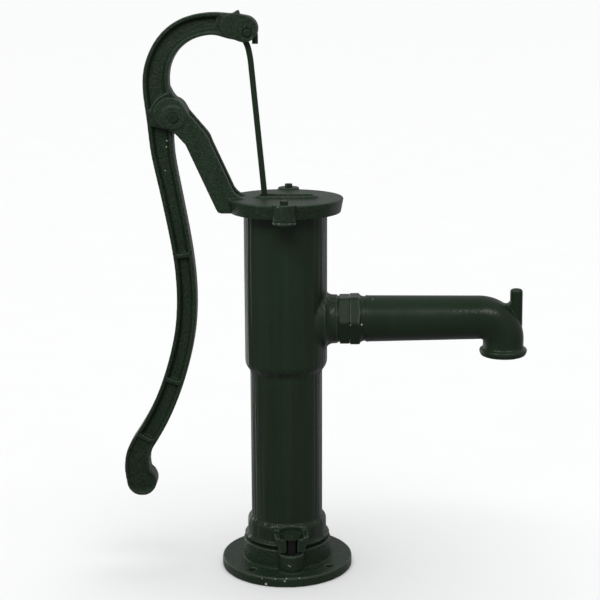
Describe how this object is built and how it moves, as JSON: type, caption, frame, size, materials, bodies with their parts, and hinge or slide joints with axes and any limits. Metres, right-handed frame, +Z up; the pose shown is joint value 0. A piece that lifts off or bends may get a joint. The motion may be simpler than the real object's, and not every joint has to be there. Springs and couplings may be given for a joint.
{
  "type": "hand well pump",
  "caption": "Cast hand lever well pump: flanged foot, stepped barrel, capped top with forked bracket, gooseneck handle, hooked piston rod and elbow spout.",
  "frame": {"origin": "centre of the base flange's underside, on the barrel's axis", "axes": "+Z up the barrel, +X towards the spout, +Y across; the handle hangs on the -X side and swings in the XZ plane"},
  "size_m": [0.4751, 0.1624, 0.6578],
  "materials": {
    "green_paint": "semi-gloss enamel over cast iron",
    "plated_steel": "zinc plated, dulled",
    "bare_iron": "machined and cast, unpainted",
    "brass": "turned",
    "leather": "oiled",
    "rubber": "matte"
  },
  "bodies": {
    "pump_body": {"pump_foot": "green_paint", "foot_gasket": "leather", "clamp_bolts": "green_paint", "barrel": "green_paint", "cap_bracket": "green_paint", "cap_bolts": "green_paint", "spout": "green_paint", "spout_lock_nut": "green_paint", "spout_seal": "rubber", "pivot_bolt": "green_paint", "pivot_washer": "green_paint"},
    "lever": {"handle": "green_paint", "pivot_bush": "brass", "rod_pin": "green_paint", "rod_pin_ring": "plated_steel"},
    "rod": {"piston_rod": "green_paint", "rod_end": "plated_steel", "rod_nut": "plated_steel", "cross_pin": "plated_steel"},
    "piston": {"piston_cage": "bare_iron", "piston_cup": "leather", "piston_follower": "bare_iron"},
    "delivery_valve": {"piston_valve": "brass", "valve_clip": "brass"},
    "foot_valve": {"flap_leather": "leather", "flap_weight": "bare_iron", "flap_plate": "bare_iron", "flap_screw": "brass"}
  },
  "joints": [
    {"name": "handle_swing", "type": "hinge", "parent": "pump_body", "child": "lever", "pos_m": [-0.1252, 0, 0.539], "axis": [0, 1, 0], "range_deg": [0, 50]},
    {"name": "rod_swing", "type": "hinge", "parent": "lever", "child": "rod", "pos_m": [-0.0411, 0, 0.6322], "axis": [0, 1, 0], "range_deg": [-44, 0]},
    {"name": "piston_stroke", "type": "slide", "parent": "pump_body", "child": "piston", "axis": [0, 0, 1], "range_m": [-0.098, 0]},
    {"name": "delivery_valve_lift", "type": "slide", "parent": "piston", "child": "delivery_valve", "axis": [0, 0, 1], "range_m": [0, 0.006]},
    {"name": "foot_flap_swing", "type": "hinge", "parent": "pump_body", "child": "foot_valve", "pos_m": [-0.0255, 0, 0.0366], "axis": [0, -1, 0], "range_deg": [0, 25]}
  ],
  "couplings": [
    {"joint": "rod_swing", "follows": "handle_swing", "ratio": -0.874},
    {"joint": "piston_stroke", "follows": "handle_swing", "m_per_rad": -0.1106}
  ]
}
